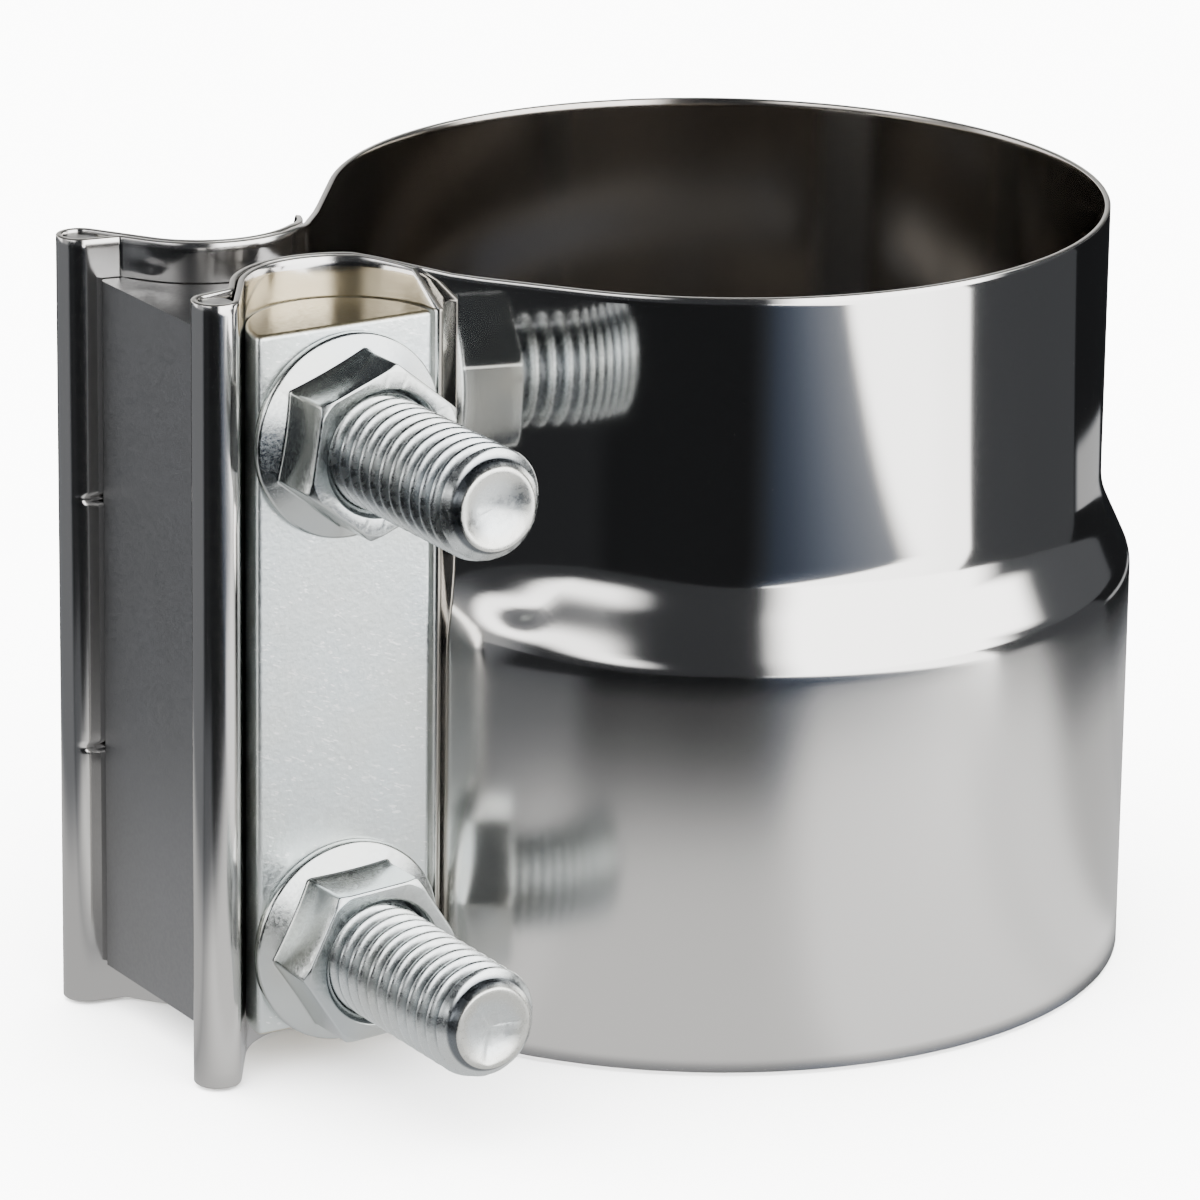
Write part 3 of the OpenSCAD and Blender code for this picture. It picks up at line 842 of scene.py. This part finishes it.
# Pieces

makeBand(bandPlan, clampPlan, bandDents, finishes["band"])
for name, node, side in (("nearBarSkin", "near_bar", -1), ("farBarSkin", "far_bar", 1)):
    makeBar(name, node, side, barPlan, clampPlan, finishes["bar"])
for pair, stand in fastenerPlan.items():
    makeNut(pair + "NutSkin", pair + "_nut", stand, hexPlan, clampPlan, finishes["nut"])
for pair, stand in fastenerPlan.items():
    makeBolt(pair + "BoltSkin", pair + "_bolt", stand, boltPlan, hexPlan, clampPlan,
             finishes["bolt"])

# the rods and the block keep their CAD shape
for node, slot in (("near_rod", "rod"), ("far_rod", "rod"), ("spacer_block", "block")):
    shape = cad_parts[node]
    shape.data.materials.clear()
    shape.data.materials.append(finishes[slot])
print("CAD nodes painted")

# Studio: a pale floor that the camera sees, and cards that only the metal sees

studioPlan = {
    "floorColour": "#F4F4F3", "floorSize": 6.0, "floorDown": 0.0004,
    "worldColour": "#FFFFFF", "worldStrength": 13.0,
    "overhead": {"place": (0.0, 0.0, 1.2), "size": 1.4, "power": 6.0},
}

# colours of a card's dim parts and of its blue part, and the strengths between which the tint
# fades to white
glowPlan = {"dim": "#D2D7E0", "cool": "#A6BADD", "tintFrom": 0.02, "tintTo": 0.9}

# the table as the metal sees it; windows are (from, to, softness), round Z in degrees or away
# from Z in metres, and right ones are turned first so that they don't cross 0
tablePlan = {
    "radius": 2.6, "down": 0.0006, "darkTable": 0.024, "darkRight": 0.11,
    # pale sheet round the clamp, from full to nothing between two distances
    "sheetNear": 0.098, "sheetFar": 0.137,
    "front": (257.0, 330.0, 8.0), "frontReach": 0.030, "frontBright": 1.45,
    "flanges": (95.0, 195.0, 14.0), "flangesDim": 0.42,
    "rightTurn": 60.0, "right": (30.0, 100.0, 12.0), "rightDim": 0.72,
    # painted shadow of the ring on the card: dark under the ring, lit where light comes in by the
    # gap at the flanges
    "ring": (0.0415, 0.0465), "gap": (-0.040, 0.020, 0.34, 0.10),
    # white card: its left edge lies where side . place passes a mark, the right one at an angle
    "cardSide": (0.926, -0.378), "cardLeft": (0.123, 0.143), "cardAngle": (240.0, 311.0, 0.4),
    "cardNear": (0.11, 0.16, 0.35, 1.0), "cardBright": 5.0,
    # blue-grey sheet left of the card, brighter towards it
    "blue": (250.0, 300.0, 5.0), "blueBright": (0.0, 0.125, 0.07, 0.42),
    # a small pale thing behind on the right
    "patch": (2.0, 28.0, 2.0), "patchAway": (0.172, 0.205, 0.004), "patchBright": 0.6,
    # dim wall on the left, cut short further round
    "wall": (108.0, 184.0, 6.0), "wallOn": (184.0, 207.0, 4.0),
    "wallAway": (0.170, 0.182, 0.65, 0.06), "wallBright": 0.26,
}

# the room as the metal sees it, with windows round Z and of height, both in degrees
roomPlan = {
    "radius": 2.5, "base": 0.075,
    "lights": [
        # bright horizon from the back right round to the left
        {"angle": (50.0, 150.0, 8.0), "lift": (-4.0, 20.0, 4.0), "bright": 2.2},
        # soft glow low on the left
        {"angle": (142.0, 186.0, 8.0), "lift": (-10.0, 26.0, 6.0), "bright": 0.5},
        # strip light over it
        {"angle": (172.0, 219.0, 8.0), "lift": (12.5, 22.5, 3.5), "bright": 4.0},
    ],
    # dim wall over the strip, that fades upwards
    "over": (120.0, 214.0, 5.0), "overFrom": (23.0, 28.0), "overTo": (45.0, 60.0),
    "overBright": 0.21,
    # large white card in front, its right part only higher up
    "card": [
        {"angle": (257.0, 321.0, 7.0), "lift": (-14.0, 44.0, 6.0)},
        {"angle": (300.0, 336.0, 5.0), "lift": (13.0, 44.0, 5.0)},
    ],
    "cardBright": 6.0,
    # something blue stands low before the card's left edge
    "blue": {"angle": (252.0, 277.0, 3.0), "lift": (-24.0, -3.5, 2.0)}, "blueBright": 0.14,
    # dim wall on the right
    "rightTurn": 60.0, "right": (10.0, 95.0, 8.0), "rightBright": 0.09,
}


def reflectedOnly(piece, name, material):
    # a card that shows in the metal and nowhere else; it is found by the reflected rays alone
    piece.name = name
    piece.data.materials.append(material)
    material.cycles.emission_sampling = "NONE"
    piece.visible_camera = False
    piece.visible_diffuse = False
    piece.visible_shadow = False
    piece.visible_transmission = False
    piece.visible_volume_scatter = False
    return piece


def coolGlow(tree, strength, blueShare, plan):
    # the dim parts of a card are tinted, bluer where blueShare is 1, and the bright ones white
    tint = addNode(tree, "ShaderNodeMix", {"Factor": blueShare, 6: linearColour(plan["dim"]),
                                           7: linearColour(plan["cool"])}, data_type="RGBA")
    dim = ramp(tree, strength, plan["tintFrom"], plan["tintTo"], 1.0, 0.0)
    colour = addNode(tree, "ShaderNodeMix", {"Factor": dim, 6: (1, 1, 1, 1),
                                             7: tint.outputs[2]}, data_type="RGBA")
    shader = addNode(tree, "ShaderNodeEmission", {"Color": colour.outputs[2],
                                                  "Strength": strength})
    addNode(tree, "ShaderNodeOutputMaterial", {"Surface": shader.outputs[0]})


def around(tree, split, turned=0.0):
    # angle round Z in degrees, 0 to 360: atan2(y, x) x 180 / pi, turned on
    angle = addNode(tree, "ShaderNodeMath", {0: split.outputs["Y"], 1: split.outputs["X"]},
                    operation="ARCTAN2").outputs[0]
    degrees = total(tree, product(tree, angle, 180 / math.pi), 360.0 + turned)
    return addNode(tree, "ShaderNodeMath", {0: degrees, 1: 360.0},
                   operation="MODULO").outputs[0]


def tableCard(plan, glow):
    # light = sheet x its dimmings + card + blue sheet + patch + left wall + dark table
    material, tree = newMaterial("tableCardGlow")
    place, split = objectPlace(tree)
    flat = addNode(tree, "ShaderNodeCombineXYZ", {0: split.outputs["X"], 1: split.outputs["Y"]})
    away = addNode(tree, "ShaderNodeVectorMath", {0: flat.outputs[0]},
                   operation="LENGTH").outputs["Value"]
    angle = around(tree, split)
    # the sheet reaches further and is brighter towards the front right, dimmer at the back
    # left beside the flanges, and dimmer on the right; under the ring it carries a painted shadow
    # of the ring
    front = windowBetween(tree, angle, *plan["front"])
    nearer = total(tree, away, product(tree, front, -plan["frontReach"]))
    flanges = windowBetween(tree, angle, *plan["flanges"])
    right = windowBetween(tree, around(tree, split, plan["rightTurn"]), *plan["right"])
    # painted shadow of the ring: dark under it, lit only towards the gap by the flanges
    ringShadowOnCard = addNode(tree, "ShaderNodeMix",
                        {"Factor": ramp(tree, away, *plan["ring"]),
                         2: ramp(tree, split.outputs["X"], *plan["gap"]), 3: 1.0},
                        data_type="FLOAT").outputs[0]
    pale = product(tree, ramp(tree, nearer, plan["sheetNear"], plan["sheetFar"], 1.0, 0.0),
                   ramp(tree, front, 0.0, 1.0, 1.0, plan["frontBright"]),
                   ramp(tree, flanges, 0.0, 1.0, 1.0, plan["flangesDim"]),
                   ramp(tree, right, 0.0, 1.0, 1.0, plan["rightDim"]), ringShadowOnCard)
    side = addNode(tree, "ShaderNodeVectorMath", {0: place, 1: (*plan["cardSide"], 0)},
                   operation="DOT_PRODUCT").outputs["Value"]
    white = product(tree, ramp(tree, side, *plan["cardLeft"]),
                    windowBetween(tree, angle, *plan["cardAngle"]),
                    ramp(tree, away, *plan["cardNear"]), plan["cardBright"])
    blueShare = windowBetween(tree, angle, *plan["blue"])
    blue = product(tree, blueShare, ramp(tree, side, *plan["blueBright"]))
    patch = product(tree, windowBetween(tree, angle, *plan["patch"]),
                    windowBetween(tree, away, *plan["patchAway"]), plan["patchBright"])
    wallOn = product(tree, windowBetween(tree, angle, *plan["wallOn"]),
                     ramp(tree, away, *plan["wallAway"]))
    wall = addNode(tree, "ShaderNodeMath", {0: windowBetween(tree, angle, *plan["wall"]),
                                            1: wallOn}, operation="MAXIMUM").outputs[0]
    cardTo = plan["cardAngle"][1]
    dark = ramp(tree, angle, cardTo - 1, cardTo + 1, plan["darkTable"], plan["darkRight"])
    light = total(tree, pale, white, patch, blue, product(tree, wall, plan["wallBright"]), dark)
    coolGlow(tree, light, blueShare, glow)
    bpy.ops.mesh.primitive_circle_add(vertices=96, radius=plan["radius"], fill_type="NGON",
                                      location=(0, 0, -plan["down"]))
    return reflectedOnly(bpy.context.object, "tableCard", material)


def roomCard(plan, glow):
    # light = lights + dim walls, or the white card where that is brighter, + blue part + base
    material, tree = newMaterial("roomGlow")
    place, split = objectPlace(tree)
    way = addNode(tree, "ShaderNodeVectorMath", {0: place}, operation="NORMALIZE").outputs[0]
    tall = addNode(tree, "ShaderNodeSeparateXYZ", {0: way}).outputs["Z"]
    angle = around(tree, split)
    # height over the horizon in degrees: asin(z) x 180 / pi
    rise = addNode(tree, "ShaderNodeMath", {0: tall}, operation="ARCSINE").outputs[0]
    lift = product(tree, rise, 180 / math.pi)

    def patchOf(one):
        return product(tree, windowBetween(tree, angle, *one["angle"]),
                       windowBetween(tree, lift, *one["lift"]))

    over = product(tree, windowBetween(tree, angle, *plan["over"]),
                   ramp(tree, lift, *plan["overFrom"]),
                   ramp(tree, lift, *plan["overTo"], 1.0, 0.0), plan["overBright"])
    light = total(tree, over, *[product(tree, patchOf(one), one["bright"])
                                for one in plan["lights"]])
    left, corner = [patchOf(part) for part in plan["card"]]
    front = addNode(tree, "ShaderNodeMath", {0: left, 1: corner}, operation="MAXIMUM").outputs[0]
    blue = patchOf(plan["blue"])
    notBlue = total(tree, product(tree, blue, -1.0), 1.0)
    light = addNode(tree, "ShaderNodeMath",
                    {0: light, 1: product(tree, front, notBlue, plan["cardBright"])},
                    operation="MAXIMUM").outputs[0]
    right = windowBetween(tree, around(tree, split, plan["rightTurn"]), *plan["right"])
    light = total(tree, light, product(tree, blue, plan["blueBright"]),
                  product(tree, right, plan["rightBright"]), plan["base"])
    coolGlow(tree, light, blue, glow)
    bpy.ops.mesh.primitive_uv_sphere_add(segments=64, ring_count=32, radius=plan["radius"])
    return reflectedOnly(bpy.context.object, "roomCard", material)


def paleFloor(plan):
    # matt pale board, which the metal doesn't reflect because the table card stands in for it
    material, tree = newMaterial("paleFloor")
    shader = addNode(tree, "ShaderNodeBsdfPrincipled",
                     {"Base Color": linearColour(plan["floorColour"]), "Roughness": 0.9})
    addNode(tree, "ShaderNodeOutputMaterial", {"Surface": shader.outputs["BSDF"]})
    bpy.ops.mesh.primitive_plane_add(size=plan["floorSize"], location=(0, 0, -plan["floorDown"]))
    floor = bpy.context.object
    floor.name = "floor"
    floor.data.materials.append(material)
    floor.visible_glossy = False
    return floor


def softWorld(plan):
    world = bpy.data.worlds.new("softWorld")
    world.use_nodes = True
    tree = world.node_tree
    tree.nodes.clear()
    back = addNode(tree, "ShaderNodeBackground",
                   {"Color": linearColour(plan["worldColour"]),
                    "Strength": plan["worldStrength"]})
    addNode(tree, "ShaderNodeOutputWorld", {"Surface": back.outputs[0]})
    bpy.context.scene.world = world


def softOverhead(plan):
    # one large soft lamp over the clamp, for the shadow under it
    lamp = bpy.data.lights.new("softOverhead", "AREA")
    lamp.size = plan["size"]
    lamp.energy = plan["power"]
    piece = bpy.data.objects.new("softOverhead", lamp)
    piece.location = plan["place"]
    bpy.context.scene.collection.objects.link(piece)
    piece.visible_glossy = False
    return piece


softWorld(studioPlan)
paleFloor(studioPlan)
tableCard(tablePlan, glowPlan)
roomCard(roomPlan, glowPlan)
softOverhead(studioPlan["overhead"])
print("studio built")

# Camera at the photograph's place, angle and slight roll

cameraPlan = {
    "place": (-380.204, -580.771, 260.531), "azimuth": -32.2925, "elevation": 18.0556,
    "roll": 0.8113, "focus": 7243.8, "imageWidth": 1200, "sensor": 36.0,   # focus in pixels
    "clip": (0.05, 20.0),                       # metres
}


def makeCamera(plan):
    # axes from azimuth and elevation, then turned by the roll round the way it looks
    azimuth = math.radians(plan["azimuth"])
    elevation = math.radians(plan["elevation"])
    back = np.array([math.sin(azimuth) * math.cos(elevation),
                     -math.cos(azimuth) * math.cos(elevation), math.sin(elevation)])
    right = np.cross(-back, [0, 0, 1])
    right /= np.linalg.norm(right)
    up = np.cross(right, -back)
    c = math.cos(math.radians(plan["roll"]))
    s = math.sin(math.radians(plan["roll"]))
    axes = np.stack([c * right + s * up, -s * right + c * up, back], -1)
    lens = bpy.data.cameras.new("camera")
    lens.sensor_width = plan["sensor"]
    lens.lens = plan["focus"] / plan["imageWidth"] * plan["sensor"]
    lens.clip_start, lens.clip_end = plan["clip"]
    camera = bpy.data.objects.new("camera", lens)
    camera.matrix_world = Matrix.Translation([v * mm for v in plan["place"]]) @ Matrix(
        axes.tolist()).to_4x4()
    bpy.context.scene.collection.objects.link(camera)
    bpy.context.scene.camera = camera


makeCamera(cameraPlan)
